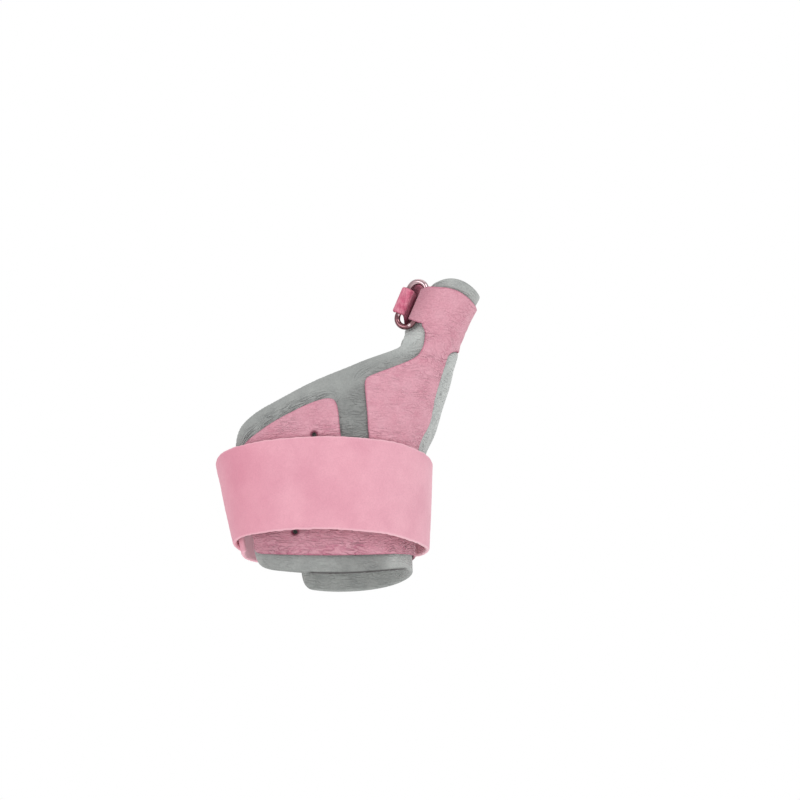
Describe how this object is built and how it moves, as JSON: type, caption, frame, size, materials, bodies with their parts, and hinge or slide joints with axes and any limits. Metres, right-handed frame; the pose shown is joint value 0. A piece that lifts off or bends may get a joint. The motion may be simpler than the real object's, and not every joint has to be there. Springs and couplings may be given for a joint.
{
  "type": "thumb spica splint",
  "caption": "Wrist and thumb splint in its worn form: a stretch-knit wrap over the thumb side of the hand, with a wide wrist strap and a thumb strap through a wire ring.",
  "frame": {"origin": "middle of the wrist strap's loop at half its height, where the wrist goes through", "axes": "+Z from the forearm to the hand, +X to the thumb side, -Y to the back of the hand"},
  "size_m": [0.1006, 0.059, 0.116],
  "materials": {
    "grey_knit": "fine grey stretch knit",
    "rose_pile": "dusty rose brushed knit with fine crinkles",
    "pink_loop": "soft pink unbroken loop pile",
    "deep_pink_loop": "deeper pink loop pile, ribbed along its length",
    "steel_wire": "polished round wire"
  },
  "bodies": {
    "root": {"liner": "grey_knit", "panel": "rose_pile", "ring_fold": "rose_pile", "wrist_strap": "pink_loop", "thumb_strap": "deep_pink_loop", "thumb_ring": "steel_wire"}
  },
  "joints": []
}
